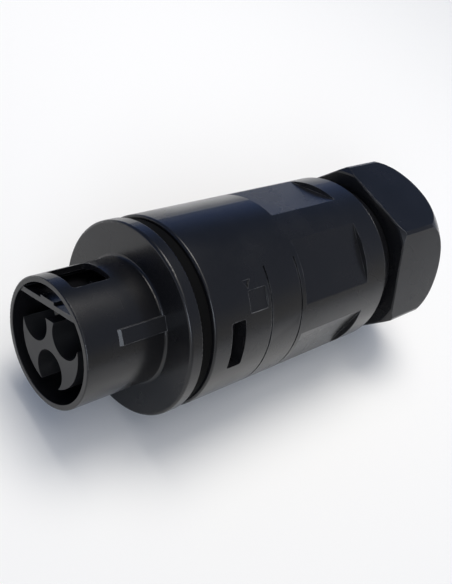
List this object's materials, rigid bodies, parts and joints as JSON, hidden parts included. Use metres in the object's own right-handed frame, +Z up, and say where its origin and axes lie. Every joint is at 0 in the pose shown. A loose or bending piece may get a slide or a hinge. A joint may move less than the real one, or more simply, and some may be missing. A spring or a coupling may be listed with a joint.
{
  "type": "inline ac cable connector",
  "caption": "Round inline mains cable connector, male half, with a keyed nose, recessed contact pins, a sleeve with wrench flats and a hexagonal cable gland nut.",
  "frame": {"origin": "on the connector's axis, in the plane of the flange's front face, where the nose barrel stands on the flange", "axes": "+X along the axis from the nose to the gland nut, +Z up with the connector lying on a flat of its nut; the key of the nose leans 30 degrees from +Z towards +Y"},
  "size_m": [0.0848, 0.0354, 0.032],
  "materials": {
    "housing_black": "semi-gloss moulded plastic",
    "insulator_grey": "matt moulded plastic",
    "cage_grey": "matt moulded plastic",
    "rubber_black": "smooth rubber",
    "contact_metal": "plated, turned",
    "terminal_brass": "machined",
    "screw_steel": "zinc plated"
  },
  "bodies": {
    "root": {"plug_body": "housing_black", "outer_sleeve": "housing_black", "gland_nut": "housing_black", "pin_insulator": "insulator_grey", "terminal_carrier": "insulator_grey", "wire_guide": "insulator_grey", "clamp_cage": "cage_grey", "slip_ring": "cage_grey", "flange_seal": "rubber_black", "body_o_ring": "rubber_black", "nut_o_ring": "rubber_black", "cable_seal": "rubber_black", "pin_line": "contact_metal", "pin_neutral": "contact_metal", "pin_earth": "contact_metal", "terminal_line": "terminal_brass", "terminal_neutral": "terminal_brass", "terminal_earth": "terminal_brass", "clamp_leaf_line": "screw_steel", "clamp_leaf_neutral": "screw_steel", "clamp_leaf_earth": "screw_steel", "screw_line": "screw_steel", "screw_neutral": "screw_steel", "screw_earth": "screw_steel"}
  },
  "joints": []
}
